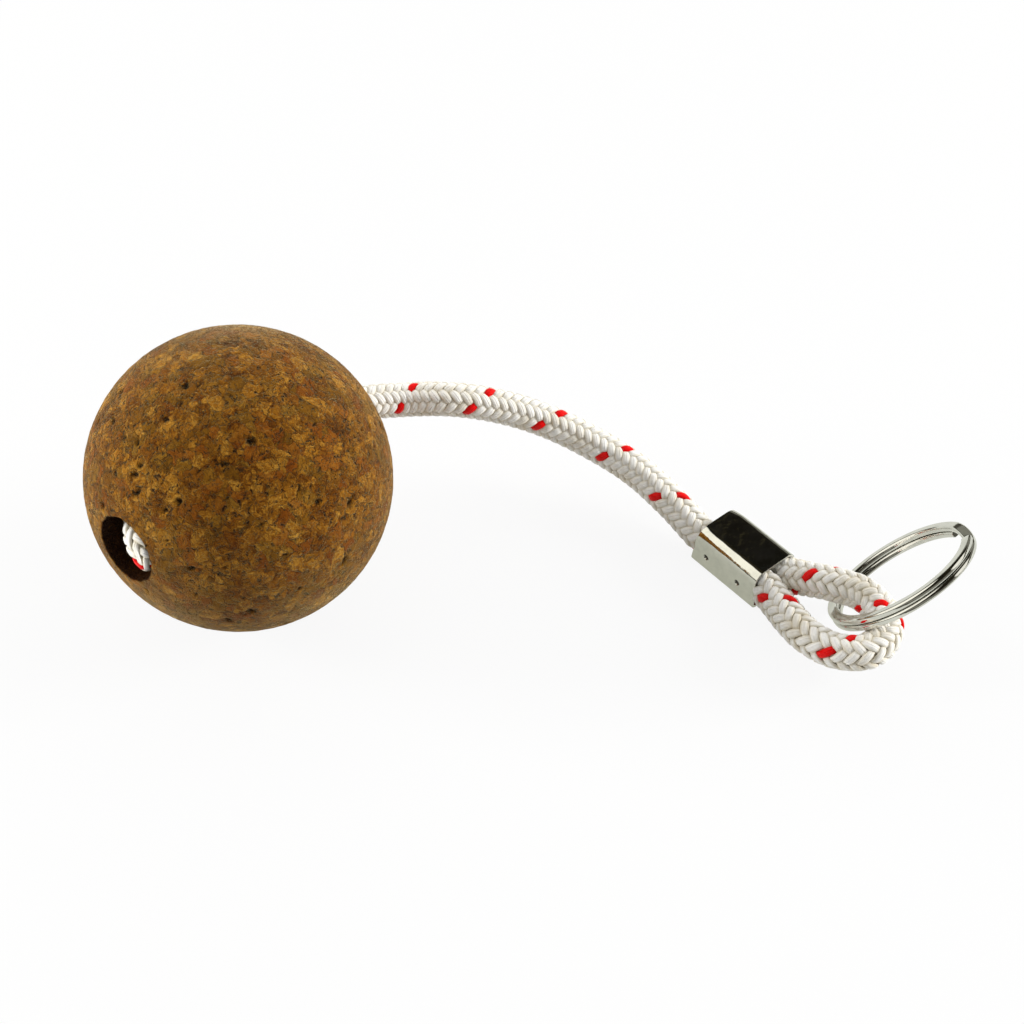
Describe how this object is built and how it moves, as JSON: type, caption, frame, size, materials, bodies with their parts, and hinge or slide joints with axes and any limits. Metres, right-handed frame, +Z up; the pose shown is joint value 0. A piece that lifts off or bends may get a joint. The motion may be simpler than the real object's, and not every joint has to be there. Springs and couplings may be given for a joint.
{
  "type": "cork keychain",
  "caption": "Floating key fob: cork ball on a knotted braided line, folded metal sleeve, line loop and double-turn split ring.",
  "frame": {"origin": "on the table, under the middle of the box that holds the cork ball, the sleeve and the split ring", "axes": "+X along the fob from the ball to the ring, +Y away from the viewer, +Z up"},
  "size_m": [0.1454, 0.0531, 0.05],
  "materials": {
    "cork": "turned agglomerated cork, dry and open-grained",
    "braid": "glossy white polyester braid with one red strand",
    "nickel": "bright nickel plate on folded sheet",
    "ring_steel": "bright plated flat wire"
  },
  "bodies": {
    "float": {"cork_ball": "cork", "stopper_knot": "braid", "line": "braid", "sleeve": "nickel"},
    "ring": {"split_ring": "ring_steel"}
  },
  "joints": [
    {"name": "ring_swing", "type": "hinge", "parent": "float", "child": "ring", "pos_m": [0.0522, -0.0156, 0.00748], "axis": [-0.072, -0.8829, 0.464], "range_deg": [0, 100]}
  ]
}
